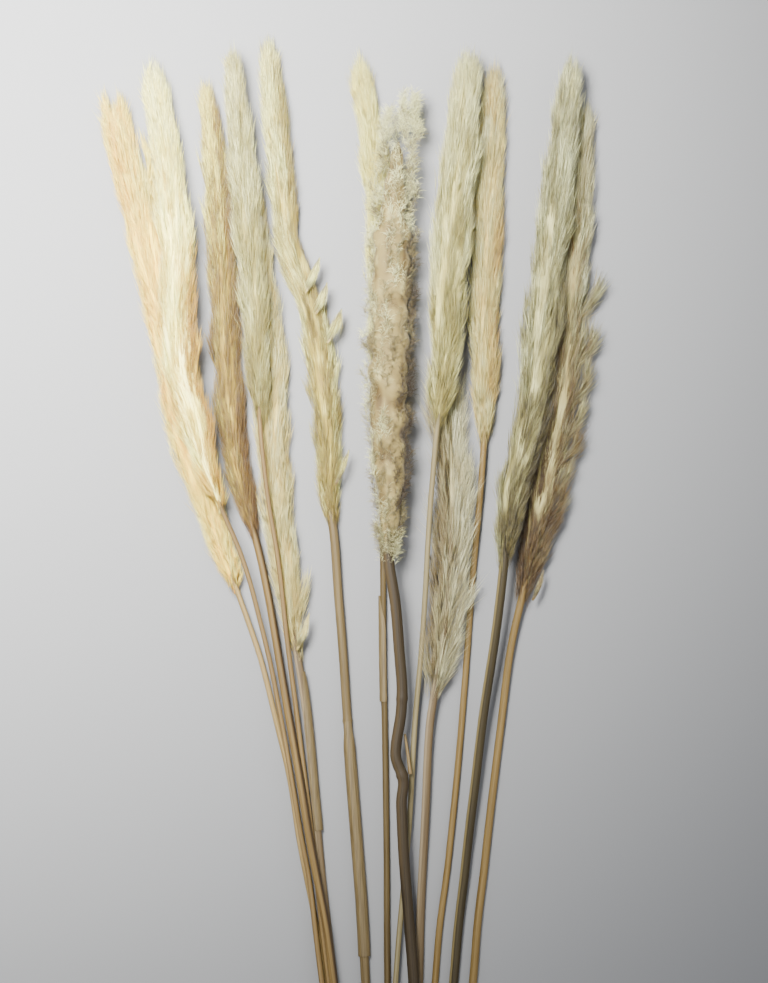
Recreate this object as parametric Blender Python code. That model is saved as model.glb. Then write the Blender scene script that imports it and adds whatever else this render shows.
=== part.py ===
"""A loose bundle of thirteen dried pampas grass stalks, laid down on a flat surface.

Metres, +Z up. The bundle lies along Y: the cut ends are at -Y, the plume tips at +Y. The surface is
z = 0, and the origin is on it, under the middle of the bundle. Each stalk is a stem with a plume at
its top. The lower plumes lie on the surface, pressed flat underneath, and the upper ones lie on them.
The stems draw together towards the cut ends, where they lie two and three deep.
"""

import bmesh
import bpy
import numpy as np

MM = 0.001

MIDDLE = (0.3, 0, 0)  # the middle of the bundle's footprint in the millimetres of the lists below

GAP = 0.3 * MM  # between pieces that touch
PLUME_GAP = 0.5 * MM  # between the flat base of a plume and the top of its stem
STEM_RING_STEP = 16 * MM
KINKED_RING_STEP = 4 * MM  # along stem 08, which has a kink
SMALL_RING_STEP = 4 * MM  # along a bract or the side shoot
PLUME_RINGS = 13
PLUME_SIDES = 12
PLUME_FLATNESS = 0.72  # a plume's thickness as a share of its width, under its own weight
SHEATH_WALL = 0.45 * MM
SHEATH_RINGS = 10
SHEATH_SIDES = 11
SHEATH_COVER = (0.25, 3.0)  # its reach round the stem from top to foot, as a share that stops at 1
BRACT_THICKNESS = 0.5 * MM
BRACT_SPAN = (0.12, 0.98)  # the stretch of a half wave that a bract's width follows, root to tip
BRACT_TIP = 0.15 * MM  # half width, at least
SIDE_SHOOT_SIDES = 6

STEM_ROUGHNESS = 0.6
PLUME_ROUGHNESS = 0.9
HUSK_ROUGHNESS = 0.55

# Half width of a plume along it, from its base to its tip, as shares of the widest part.
PLUME_PROFILE = (
    (0.00, 0.30),
    (0.07, 0.52),
    (0.18, 0.82),
    (0.35, 1.00),
    (0.62, 0.97),
    (0.82, 0.82),
    (0.94, 0.64),
    (1.00, 0.42),
)

CREAM = (0.86, 0.80, 0.66)
IVORY = (0.83, 0.79, 0.68)
WOOLLY = (0.78, 0.72, 0.58)
KHAKI = (0.66, 0.62, 0.47)
STRAW = (0.64, 0.53, 0.32)
BROWN = (0.42, 0.34, 0.22)
HUSK = (0.74, 0.66, 0.46)

# The thirteen stalks, from left to right, with every place and size in millimetres. "plume" is the
# axis of the plume from its tip to its base, "stem" the middle of the stem from there to its cut end,
# "half_width" that of the plume at its widest, and "radii" the stem's under the plume and at its cut
# end.
STALKS = {
    "01": {
        "plume": [(-144, 337, 7), (-136, 298, 9), (-127, 268, 9), (-121, 238, 9), (-113.5, 208, 9),
                  (-101.5, 148, 9), (-85.5, 88, 9), (-76.5, 61, 8), (-65.7, 31, 7)],
        "stem": [(-60, 13.5, 6.5), (-55, 0, 6.2), (-47.7, -27, 5.5), (-43, -47, 5), (-35.1, -80, 4),
                 (-29.8, -115, 3), (-24, -145, 2.3), (-19, -170, 2), (-15.8, -195, 2), (2, -356, 2)],
        "half_width": 13, "radii": (1.6, 2.0), "plume_colour": CREAM, "stem_colour": STRAW,
    },
    "02": {
        "plume": [(-118.5, 348, 8), (-111.5, 310, 14), (-106, 268, 21), (-102.5, 238, 25.5),
                  (-102.3, 205, 27.5), (-98.5, 162, 27.5), (-91, 136, 27), (-85.5, 111, 26), (-74, 79, 22.5)],
        "stem": [(-63.7, 55, 19.5), (-57.7, 35, 17), (-51.7, 10.5, 14.5), (-46.7, -9.5, 12.8),
                 (-42.9, -29.5, 11.5), (-38.9, -51.5, 10.2), (-33.9, -80, 8.8), (-28.2, -115, 7.3),
                 (-22.6, -145, 6.4), (-19.9, -170, 6.2), (-16.7, -195, 6.2), (0.5, -348, 6.2)],
        "half_width": 13, "radii": (1.4, 1.8), "plume_colour": CREAM, "stem_colour": STRAW,
    },
    "03": {
        "plume": [(-85.5, 336, 6), (-78.3, 268, 7), (-76, 238, 7), (-74.3, 205, 7), (-72.3, 162, 7),
                  (-70.5, 136, 7), (-67, 111, 7), (-61.5, 86, 7), (-54.3, 60, 7)],
        "stem": [(-47.9, 30, 8.2), (-44.5, 10.5, 8.8), (-39.5, -19.5, 9.6), (-34.3, -49.5, 10.3),
                 (-28.9, -80, 11), (-23.3, -115, 11.1), (-17.5, -145, 11.1), (-12.7, -170, 10.7),
                 (-9.3, -195, 10.2), (15, -362, 7.8)],
        "half_width": 10, "radii": (2.3, 2.6), "plume_colour": CREAM, "stem_colour": BROWN,
    },
    "04": {
        "plume": [(-69.3, 354, 19), (-61, 268, 23.5), (-55.5, 205, 24.5), (-53.7, 162, 24.5), (-52.5, 132, 24)],
        "stem": [(-49.7, 104.5, 22.5), (-46.5, 79.5, 21), (-43.7, 65, 20), (-40.8, 45, 18), (-38.8, 25, 16),
                 (-36.8, 5, 13.7), (-34.8, -9.5, 12), (-32.3, -29.5, 10), (-29.8, -49.5, 8.5), (-26, -80, 7.2),
                 (-21.6, -115, 6.5), (-18.3, -145, 6.2), (-15.6, -170, 6.2), (-12.4, -195, 6.3),
                 (5, -340, 6.3)],
        "half_width": 9.5, "radii": (1.4, 1.8), "plume_colour": IVORY, "stem_colour": STRAW,
    },
    "05": {
        "plume": [(-58.5, 276, 6.5), (-54.5, 244, 7.6), (-50.5, 205, 7.6), (-46, 162, 7.6), (-46, 136, 7.6),
                  (-43.2, 85, 7.6), (-39.8, 60, 7.5), (-36, 30, 7.5), (-33.5, 13, 7), (-29.7, -9.5, 6.5)],
        "stem": [(-26.1, -32, 5), (-24, -50, 4.2), (-21.3, -80, 3.3), (-17.9, -115, 2.8), (-15.2, -145, 2.6),
                 (-12.2, -170, 2.6), (-9.2, -195, 2.6), (10, -352, 2.6)],
        "half_width": 11, "radii": (2.3, 2.5), "plume_colour": CREAM, "stem_colour": STRAW,
    },
    "06": {
        "plume": [(-47.7, 362, 6), (-45.3, 328, 7.3), (-40.5, 292, 7.3), (-37.5, 265, 7.3), (-34.5, 237, 7.3),
                  (-28, 220, 7.3), (-21.3, 205, 7.3), (-17.7, 184, 7.3), (-15.3, 162, 7.3), (-11.5, 124, 7.3),
                  (-12.3, 95, 7.3), (-10, 80, 7), (-8, 66, 6.5)],
        "stem": [(-6.4, 40, 5.4), (-3.3, 0, 4.3), (0.1, -49.5, 3.5), (5.1, -115, 3), (8.9, -165, 2.9),
                 (10.3, -195, 2.9), (19, -359, 2.9)],
        "half_width": 10.5, "radii": (2.7, 2.8), "plume_colour": CREAM, "stem_colour": STRAW,
    },
    "07": {
        "plume": [(6.3, 351, 6), (16.5, 292, 7), (20.7, 244, 7), (22, 178, 7), (21.3, 118, 7), (21.3, 88, 7)],
        "stem": [(21.3, 52, 5.5), (21.6, 0, 3.8), (22.3, -44, 2.8), (23.4, -115, 2.2), (23.7, -165, 2.2),
                 (25.5, -344, 2.2)],
        "half_width": 10, "radii": (1.8, 2.1), "plume_colour": IVORY, "stem_colour": STRAW,
    },
    "08": {
        "plume": [(34.5, 339, 20), (28.5, 280, 26), (25.5, 208, 27), (24.3, 148, 27), (25.5, 88, 27),
                  (24.5, 54, 26)],
        "stem": [(28.5, 28, 25), (30.9, -2, 23.5), (32.7, -31, 21.8), (31.7, -44, 21), (29.1, -59, 20.3),
                 (28.9, -69, 20), (33.4, -78, 19.6), (33.6, -85, 19.3), (32.3, -91, 19), (32.7, -101, 18.5),
                 (33.3, -115, 17.8), (35.3, -145, 16), (36.9, -165, 15), (39.3, -195, 13.5), (45, -361, 8.9)],
        "half_width": 15, "radii": (3.3, 3.3), "plume_colour": WOOLLY, "stem_colour": BROWN,
    },
    "09": {
        "plume": [(73.5, 354, 20), (67.5, 298, 25), (61.5, 238, 27), (58.5, 178, 27), (53.6, 130, 26)],
        "stem": [(49.5, 82, 20.5), (46.5, 28, 15), (44.1, -8, 11.5), (40.7, -44, 9), (39, -74, 7.8),
                 (37.4, -105, 7.2), (32.7, -156, 6.8), (29.5, -195, 6.8), (22.3, -336, 6.8)],
        "half_width": 13, "radii": (1.6, 1.7), "plume_colour": IVORY, "stem_colour": STRAW,
    },
    "10": {
        "plume": [(88.5, 345, 6), (85.5, 280, 7), (82.5, 208, 7), (82.5, 150, 7), (82, 118, 7)],
        "stem": [(79.5, 85, 5.2), (76.5, 52, 3.2), (69.1, -44, 2.3), (62.5, -115, 2.2), (59.1, -145, 2.2),
                 (56, -165, 2.2), (53.5, -195, 2.2), (41.5, -353, 2.2)],
        "half_width": 10, "radii": (1.9, 2.1), "plume_colour": CREAM, "stem_colour": STRAW,
    },
    "11": {
        "plume": [(55, 172, 5.5), (59.5, 140, 7.5), (62.5, 114, 10), (63, 85, 11.5), (62, 55, 12),
                  (59.5, 21, 12), (56, -8, 10.5), (51, -36, 8.5)],
        "stem": [(48.9, -55, 7.2), (47.7, -84.5, 5.4), (46.4, -115, 4), (44.7, -145, 3.1), (43.8, -165, 2.8),
                 (43.3, -195, 2.8), (34.5, -358, 2.8)],
        "half_width": 13.5, "radii": (2.5, 2.7), "plume_colour": IVORY, "stem_colour": STRAW,
    },
    "12": {
        "plume": [(135.3, 350, 20), (127.5, 292, 25), (121.5, 238, 26), (115.5, 184, 26), (109.5, 136, 26),
                  (97.5, 88, 25.5), (93.3, 43, 24.5)],
        "stem": [(88.6, 4, 19.5), (84.9, -20, 16.3), (81.4, -44, 13.5), (76.6, -84.5, 9.5), (73, -115, 7),
                 (69.9, -145, 5), (67.3, -165, 4), (64.8, -195, 3.2), (48.5, -361, 2.9)],
        "half_width": 13, "radii": (2.8, 2.8), "plume_colour": KHAKI, "stem_colour": BROWN,
    },
    "13": {
        "plume": [(142.5, 325, 6), (139.5, 268, 8.5), (133.5, 208, 8.5), (127.5, 148, 8.5), (118.5, 100, 8.5),
                  (104, 24, 7)],
        "stem": [(99.9, 6.8, 5.5), (93.2, -44, 3.3), (88.2, -84.5, 2.7), (84.7, -115, 2.7), (81.3, -145, 2.7),
                 (78.6, -165, 2.7), (76.9, -190, 2.7), (56.5, -350, 2.7)],
        "half_width": 12.5, "radii": (2.3, 2.6), "plume_colour": KHAKI, "stem_colour": STRAW,
    },
}

# Leaf sheaths that still wrap a stem: the stalk, where along Y the sheath starts and ends, in
# millimetres, and the stretch of its wall round the stem in degrees, counted from +X towards +Z.
SHEATHS = {
    "05": (-16, -112, -30, 120),
    "06": (-46, -188, -40, 220),
    "07": (30, -34, 60, 270),
}

# Bracts, the small dry leaves that stand out of a plume: root, middle and tip in millimetres, and the
# width at the middle.
BRACTS = {
    "05a": [(-31.5, -4, 12.5), (-26, 7, 13.5), (-23.6, 18, 13.5), 3.6],
    "06a": [(-26, 211, 17), (-21, 221, 16.4), (-17.2, 232, 15), 3.0],
    "06b": [(-20, 198, 17), (-15.5, 207, 16.2), (-12.9, 217, 14.5), 3.0],
    "06c": [(-12.8, 181, 16), (-8, 190, 15), (-4.2, 201, 13.5), 3.4],
    "06d": [(-8, 96, 15.8), (-3.5, 105, 14.5), (0.4, 116, 13), 3.0],
    "13a": [(110.5, 26, 12), (115, 34, 12), (117.8, 44, 11), 3.0],
}

# The broken shoot that leaves stem 08 at its knot and runs up behind it, in millimetres.
SIDE_SHOOT = [(37.8, -77, 14.6), (36.4, -66, 15), (34.4, -53, 15.6)]
SIDE_SHOOT_RADII = (1.2, 0.7)


def smooth_curve(points):
    """The distance along the chords to each of the points, and the function that gives the place at
    any such distance: a cubic between each two points, sloped at each as the chords beside it."""
    points = (np.array(points, float) - MIDDLE) * MM
    along = np.concatenate([[0], np.cumsum(np.linalg.norm(np.diff(points, axis=0), axis=1))])
    slope = np.gradient(points, along, axis=0)

    def place(at):
        k = np.clip(np.searchsorted(along, at, side="right") - 1, 0, len(along) - 2)
        span = (along[k + 1] - along[k])[:, None]
        t = (at - along[k])[:, None] / span
        return (
            points[k] * (2 * t**3 - 3 * t**2 + 1)
            + points[k + 1] * (3 * t**2 - 2 * t**3)
            + slope[k] * span * (t**3 - 2 * t**2 + t)
            + slope[k + 1] * span * (t**3 - t**2)
        )

    return along, place


def evenly(points, step):
    """Places about a step apart along the smooth curve through the points."""
    along, place = smooth_curve(points)
    return place(np.linspace(0, along[-1], round(along[-1] / step) + 1))


def across(forward):
    """The sideways and upward directions for each forward one, sideways being level."""
    forward = forward / np.linalg.norm(forward, axis=1)[:, None]
    side = np.cross(forward, (0.0, 0.0, 1.0))
    side /= np.linalg.norm(side, axis=1)[:, None]
    return side, np.cross(side, forward)


def material(name, colour, roughness):
    made = bpy.data.materials.new(name)
    made.use_nodes = True
    shader = made.node_tree.nodes["Principled BSDF"]
    shader.inputs["Base Color"].default_value = (*colour, 1)
    shader.inputs["Roughness"].default_value = roughness
    shader.inputs["Metallic"].default_value = 0
    return made


def add_object(name, data, colour, roughness):
    data.materials.append(material(name, colour, roughness))
    piece = bpy.data.objects.new(name, data)
    bpy.context.collection.objects.link(piece)
    return piece


def lofted(name, rings, colour, roughness):
    """One closed solid through rings of equally many points, with a flat face on each end."""
    built = bmesh.new()
    loops = [[built.verts.new(point) for point in ring] for ring in rings]
    for lower, upper in zip(loops, loops[1:]):
        for i in range(len(lower)):
            j = (i + 1) % len(lower)
            built.faces.new((lower[i], lower[j], upper[j], upper[i]))
    built.faces.new(loops[0][::-1])
    built.faces.new(loops[-1])
    bmesh.ops.recalc_face_normals(built, faces=built.faces)
    mesh = bpy.data.meshes.new(name)
    built.to_mesh(mesh)
    built.free()
    mesh.shade_smooth()
    return add_object(name, mesh, colour, roughness)


def stem_route(number):
    """The middle of a stem and its radius, from a gap under its plume to its cut end, no lower than
    the surface lets it lie. It is on the same curve as the plume's axis."""
    stalk = STALKS[number]
    along, place = smooth_curve([*stalk["plume"], *stalk["stem"]])
    start = along[len(stalk["plume"]) - 1] + PLUME_GAP
    step = KINKED_RING_STEP if number == "08" else STEM_RING_STEP
    route = place(np.linspace(start, along[-1], round((along[-1] - start) / step)))
    radii = np.linspace(*stalk["radii"], len(route)) * MM
    route[:, 2] = np.maximum(route[:, 2], radii)
    return route, radii


def add_stem(number):
    """A round stalk along its route, thicker towards its cut end."""
    route, radii = stem_route(number)
    data = bpy.data.curves.new(f"stem_{number}", "CURVE")
    data.dimensions = "3D"
    data.bevel_depth = 1  # so that a point's radius is the stem's, in metres
    data.bevel_resolution = 2
    data.use_fill_caps = True
    spline = data.splines.new("POLY")
    spline.points.add(len(route) - 1)
    for point, place, radius in zip(spline.points, route, radii):
        point.co = (*place, 1)
        point.radius = radius
    add_object(f"stem_{number}", data, STALKS[number]["stem_colour"], STEM_ROUGHNESS)


def add_plume(number):
    """A plume as one soft body: oval rings along its axis, flattened where they meet the surface."""
    stalk = STALKS[number]
    along, place = smooth_curve([*stalk["plume"], *stalk["stem"]])
    at = np.linspace(along[len(stalk["plume"]) - 1], 0, PLUME_RINGS)
    side, up = across(place(at) - place(at + MM))
    share = np.linspace(0, 1, PLUME_RINGS)
    half_width = stalk["half_width"] * MM * np.interp(share, *zip(*PLUME_PROFILE))[:, None, None]
    turn = 2 * np.pi * np.arange(PLUME_SIDES) / PLUME_SIDES
    rings = (
        place(at)[:, None]
        + half_width * np.cos(turn)[None, :, None] * side[:, None]
        + half_width * PLUME_FLATNESS * np.sin(turn)[None, :, None] * up[:, None]
    )
    rings[:, :, 2] = np.maximum(rings[:, :, 2], 0)
    lofted(f"plume_{number}", rings, stalk["plume_colour"], PLUME_ROUGHNESS)


def add_sheath(number):
    """A leaf sheath: a thin wall part of the way round its stem, with a pointed end at the top."""
    top, foot, first, last = SHEATHS[number]
    route, radii = stem_route(number)
    level = np.linspace(top, foot, SHEATH_RINGS) * MM
    centre = np.stack([np.interp(-level, -route[:, 1], route[:, k]) for k in range(3)], 1)
    inner = np.interp(-level, -route[:, 1], radii) + 2 * GAP
    side, up = across(-np.gradient(centre, axis=0))
    cover = np.minimum(np.linspace(*SHEATH_COVER, len(level)), 1)
    middle, reach = np.radians((first + last) / 2), np.radians((last - first) / 2)
    swing = np.linspace(-1, 1, SHEATH_SIDES)
    turn = middle + reach * cover[:, None] * swing[None]

    def wall(radius):
        spoke = np.cos(turn)[:, :, None] * side[:, None] + np.sin(turn)[:, :, None] * up[:, None]
        return centre[:, None] + radius[:, None, None] * spoke

    rings = np.concatenate([wall(inner), wall(inner + SHEATH_WALL)[:, ::-1]], axis=1)
    lofted(f"leaf_sheath_{number}", rings, HUSK, HUSK_ROUGHNESS)


def add_bract(number):
    """A bract: a thin narrow blade, widest at its middle and pointed at its tip."""
    *points, width = BRACTS[number]
    route = evenly(points, SMALL_RING_STEP)
    side, up = across(np.gradient(route, axis=0))
    wave = np.sin(np.pi * np.linspace(*BRACT_SPAN, len(route)))
    half_width = np.maximum(width / 2 * MM * wave, BRACT_TIP)
    corners = ((-1, -1), (1, -1), (1, 1), (-1, 1))
    rings = np.stack(
        [
            route + a * half_width[:, None] * side + b * BRACT_THICKNESS / 2 * up
            for a, b in corners
        ],
        axis=1,
    )
    lofted(f"bract_{number}", rings, HUSK, HUSK_ROUGHNESS)


def add_side_shoot():
    """The thin broken shoot beside the knot of stem 08."""
    route = evenly(SIDE_SHOOT, SMALL_RING_STEP)
    side, up = across(np.gradient(route, axis=0))
    radius = np.linspace(*SIDE_SHOOT_RADII, len(route))[:, None, None] * MM
    turn = 2 * np.pi * np.arange(SIDE_SHOOT_SIDES) / SIDE_SHOOT_SIDES
    rings = route[:, None] + radius * (
        np.cos(turn)[None, :, None] * side[:, None] + np.sin(turn)[None, :, None] * up[:, None]
    )
    lofted("side_shoot_08", rings, STRAW, STEM_ROUGHNESS)


for leftover in list(bpy.data.objects):
    bpy.data.objects.remove(leftover)

for number in STALKS:
    add_stem(number)
    add_plume(number)
for number in SHEATHS:
    add_sheath(number)
for number in BRACTS:
    add_bract(number)
add_side_shoot()
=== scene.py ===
"""A loose bundle of thirteen dried pampas grass stalks, laid down on a pale floor."""

import bpy
import numpy as np
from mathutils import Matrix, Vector


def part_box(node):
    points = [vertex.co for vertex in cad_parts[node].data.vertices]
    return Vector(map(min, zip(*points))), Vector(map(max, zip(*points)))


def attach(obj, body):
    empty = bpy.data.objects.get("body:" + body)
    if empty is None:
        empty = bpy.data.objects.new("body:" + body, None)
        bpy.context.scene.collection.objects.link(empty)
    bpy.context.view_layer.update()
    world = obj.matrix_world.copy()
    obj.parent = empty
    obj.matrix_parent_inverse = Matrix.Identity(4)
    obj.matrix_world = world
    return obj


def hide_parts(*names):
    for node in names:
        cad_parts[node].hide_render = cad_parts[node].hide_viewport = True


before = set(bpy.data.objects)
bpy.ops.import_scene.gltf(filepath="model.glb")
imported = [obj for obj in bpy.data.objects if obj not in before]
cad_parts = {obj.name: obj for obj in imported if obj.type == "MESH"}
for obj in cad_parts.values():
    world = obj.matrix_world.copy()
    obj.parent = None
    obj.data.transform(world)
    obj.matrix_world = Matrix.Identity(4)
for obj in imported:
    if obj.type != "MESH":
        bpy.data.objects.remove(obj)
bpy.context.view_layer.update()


# Floor, lights and camera.
# A pale matte floor, a large soft window light from the upper left and a weak fill from the right. The
# camera looks straight down on the bundle.

FLOOR_SIZE = 6.0
FLOOR_GREY = (0.245, 0.248, 0.255)
SKY_GREY = (0.90, 0.93, 1.0)
SKY_STRENGTH = 0.42
CAMERA_PLACE = (0.0216, 0.0929, 2.48)
LENS_MM = 150
NEAREST_SEEN = 0.01


def lay_floor():
    """A square level face around the origin, at the height the bundle rests on."""
    half = FLOOR_SIZE / 2
    mesh = bpy.data.meshes.new("floor")
    corners = [(-half, -half, 0), (half, -half, 0), (half, half, 0), (-half, half, 0)]
    mesh.from_pydata(corners, [], [(0, 1, 2, 3)])
    floor = bpy.data.objects.new("floor", mesh)
    bpy.context.collection.objects.link(floor)
    paint = bpy.data.materials.new("floor_paint")
    paint.use_nodes = True
    shader = paint.node_tree.nodes["Principled BSDF"]
    shader.inputs["Base Color"].default_value = (*FLOOR_GREY, 1)
    shader.inputs["Roughness"].default_value = 0.9
    mesh.materials.append(paint)


def hang_light(name, place, towards, size, spread, watts, colour):
    """A square soft light at a place, facing a point of the floor, its beam kept to a spread in degrees."""
    light = bpy.data.lights.new(name, "AREA")
    light.size = size
    light.spread = np.radians(spread)
    light.energy = watts
    light.color = colour
    lamp = bpy.data.objects.new(name, light)
    bpy.context.collection.objects.link(lamp)
    lamp.location = place
    lamp.rotation_euler = (lamp.location - Vector(towards)).to_track_quat("Z", "Y").to_euler()


lay_floor()
hang_light(
    "window_light",
    place=(-0.34, 0.52, 1.24),
    towards=(-0.35, 0.42, 0),
    size=0.5,
    spread=63,
    watts=26,
    colour=(1.0, 0.99, 0.955),
)
hang_light(
    "fill_light",
    place=(1.3, 0.2, 1.5),
    towards=(0, 0, 0),
    size=1.6,
    spread=180,
    watts=12,
    colour=(0.97, 0.98, 1.0),
)

sky = bpy.data.worlds.new("studio")
sky.use_nodes = True
sky.node_tree.nodes["Background"].inputs["Color"].default_value = (*SKY_GREY, 1)
sky.node_tree.nodes["Background"].inputs["Strength"].default_value = SKY_STRENGTH
bpy.context.scene.world = sky

lens = bpy.data.cameras.new("camera")
lens.lens = LENS_MM
lens.clip_start = NEAREST_SEEN
camera = bpy.data.objects.new("camera", lens)
camera.location = CAMERA_PLACE
bpy.context.collection.objects.link(camera)
bpy.context.scene.camera = camera


# Stems.
# Each is one dry grass stalk, a hard pithy tube with fine fibres along it and a faint ring where a leaf
# grew. It tapers on upwards as the thin axis that carries the plume, and it is cut square at the foot.

SLICE_STEP = 0.002  # between the places where a stalk of the frame is measured
SLICE_MARGIN = 0.0015  # it isn't measured nearer to its ends than this
FOOT_SLICES = 4  # the line of the lowest slices is carried on straight to the foot
THICKNESS_REACH = 6  # slices to either side over which the thickness is softened
STEM_SIDES = 14
AXIS_SHARE = 0.85  # how far up the plume its axis runs
AXIS_TIP = 0.0003  # radius
RING_SWELL = 0.16  # of the radius, where a leaf grew
RING_REACH = 0.0011
WOBBLE = 0.035  # of the radius
WOBBLE_PITCHES = (55, 23)  # radians per metre along the stem
WOBBLE_PHASE = 1.7  # from a stem to the next
# the cut foot, from its edge to its middle: shares of the radius, and depths into the stem
CUT_RINGS = ((1.0, 0.0), (0.9, -0.0003), (0.66, -0.0003), (0.55, 0.0006), (0.1, 0.0008))


def slices(node, levels):
    """Where planes across Y cut a node: the middle of each cut's box, and half its size in X and in Z. An
    edge is cut where Y, linear between the edge's two ends, reaches the plane's level."""
    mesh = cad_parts[node].data
    place = np.empty(len(mesh.vertices) * 3)
    mesh.vertices.foreach_get("co", place)
    ends = np.empty(len(mesh.edges) * 2, int)
    mesh.edges.foreach_get("vertices", ends)
    a, b = place.reshape(-1, 3)[ends.reshape(-1, 2)].transpose(1, 0, 2)
    level = levels[:, None]
    crosses = (a[:, 1] - level) * (b[:, 1] - level) < 0
    share = (level - a[:, 1]) / np.where(crosses, b[:, 1] - a[:, 1], 1)
    cut = np.where(crosses[..., None], a + share[..., None] * (b - a), np.nan)
    low, high = np.nanmin(cut, axis=1), np.nanmax(cut, axis=1)
    middle = (low + high) / 2
    middle[:, 1] = levels
    return middle, (high - low)[:, [0, 2]] / 2


def levels_of(node):
    """Levels a step apart from the foot of a node to its top, a margin inside its ends."""
    foot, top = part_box(node)
    count = round((top.y - foot.y) / SLICE_STEP)
    return np.linspace(foot.y + SLICE_MARGIN, top.y - SLICE_MARGIN, count)


def softened(values, reach):
    """Each row as the mean of itself and its neighbours, a reach to either side, the line carried on
    straight past both ends."""
    ahead = np.arange(1, reach + 1)[:, None]
    before = values[:1] - ahead[::-1] * (values[1:2] - values[:1])
    after = values[-1:] + ahead * (values[-1:] - values[-2:-1])
    total = np.cumsum(np.concatenate([np.zeros_like(values[:1]), before, values, after]), axis=0)
    width = 2 * reach + 1
    return (total[width:] - total[:-width]) / width


def directions(route):
    """The forward, sideways and upward directions along a route, sideways being level."""
    forward = np.gradient(route, axis=0)
    forward /= np.linalg.norm(forward, axis=1)[:, None]
    side = np.cross(forward, (0.0, 0.0, 1.0))
    side /= np.linalg.norm(side, axis=1)[:, None]
    return forward, side, np.cross(side, forward)


def distance_along(route):
    """How far along a route each of its points is."""
    steps = np.linalg.norm(np.diff(route, axis=0), axis=1)
    return np.concatenate([[0.0], np.cumsum(steps)])


def make_piece(name, points, faces, attributes, materials, slots=None):
    """A smooth mesh from arrays of points and of faces with three or four corners, with values stored at
    its points, riding on the bundle's one body."""
    corners = np.concatenate([part.ravel() for part in faces]).astype(np.int32)
    sizes = np.concatenate([np.full(len(part), part.shape[1]) for part in faces])
    starts = np.concatenate([[0], np.cumsum(sizes)[:-1]]).astype(np.int32)
    mesh = bpy.data.meshes.new(name)
    mesh.vertices.add(len(points))
    mesh.vertices.foreach_set("co", points.astype(np.float32).ravel())
    mesh.loops.add(len(corners))
    mesh.loops.foreach_set("vertex_index", corners)
    mesh.polygons.add(len(sizes))
    mesh.polygons.foreach_set("loop_start", starts)
    for material in materials:
        mesh.materials.append(material)
    if slots is not None:
        mesh.polygons.foreach_set("material_index", slots.astype(np.int32))
    mesh.update(calc_edges=True)
    mesh.shade_smooth()
    for label, values in attributes.items():
        if values.ndim == 1:
            layer = mesh.attributes.new(label, "FLOAT", "POINT")
            layer.data.foreach_set("value", values.astype(np.float32))
        else:
            layer = mesh.attributes.new(label, "FLOAT_VECTOR", "POINT")
            layer.data.foreach_set("vector", values.astype(np.float32).ravel())
    piece = bpy.data.objects.new(name, mesh)
    bpy.context.collection.objects.link(piece)
    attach(piece, "root")
    return piece


def grid_faces(rows, columns):
    """The four-cornered faces between rings of points that close on themselves, facing outwards where the
    rings run forwards and their points turn from sideways to upwards."""
    ring = np.arange(columns)
    here = (np.arange(rows - 1)[:, None] * columns + ring)[..., None]
    beside = (np.arange(rows - 1)[:, None] * columns + (ring + 1) % columns)[..., None]
    return np.concatenate([here, beside, beside + columns, here + columns], axis=2).reshape(-1, 4)


def capped(rings):
    """The points and faces of rings joined into a closed skin, with a fan of triangles over each end."""
    rows, columns = rings.shape[:2]
    here = np.arange(columns)
    beside = (here + 1) % columns
    foot = np.stack([beside, here, here * 0 + rows * columns], axis=1)
    last = (rows - 1) * columns
    top = np.stack([here + last, beside + last, here * 0 + rows * columns + 1], axis=1)
    points = np.concatenate([rings.reshape(-1, 3), rings[[0, -1]].mean(axis=1)])
    return points, [grid_faces(rows, columns), foot, top]


def stalk_line(number, reach):
    """The middle and radius of a stalk from its foot to high in its plume, from slices of both."""
    stem, plume = f"stem_{number}", f"plume_{number}"
    middle, half = slices(stem, levels_of(stem))
    above = slices(plume, levels_of(plume))[0]
    above = above[: int(AXIS_SHARE * len(above))]
    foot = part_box(stem)[0].y
    slope = (middle[FOOT_SLICES] - middle[0]) / (middle[FOOT_SLICES, 1] - middle[0, 1])
    first = middle[:1] + slope * (foot - middle[0, 1])
    route = softened(np.concatenate([first, middle, above]), reach)
    lean = np.abs(directions(route)[0][:, 1])
    thick = (half[:, 0] * lean[1 : len(half) + 1] + half[:, 1]) / 2
    thick = softened(np.concatenate([thick[:1], thick])[:, None], THICKNESS_REACH)[:, 0]
    taper = np.linspace(thick[-1], AXIS_TIP, len(above) + 1)[1:]
    return route, np.concatenate([thick, taper])


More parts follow.
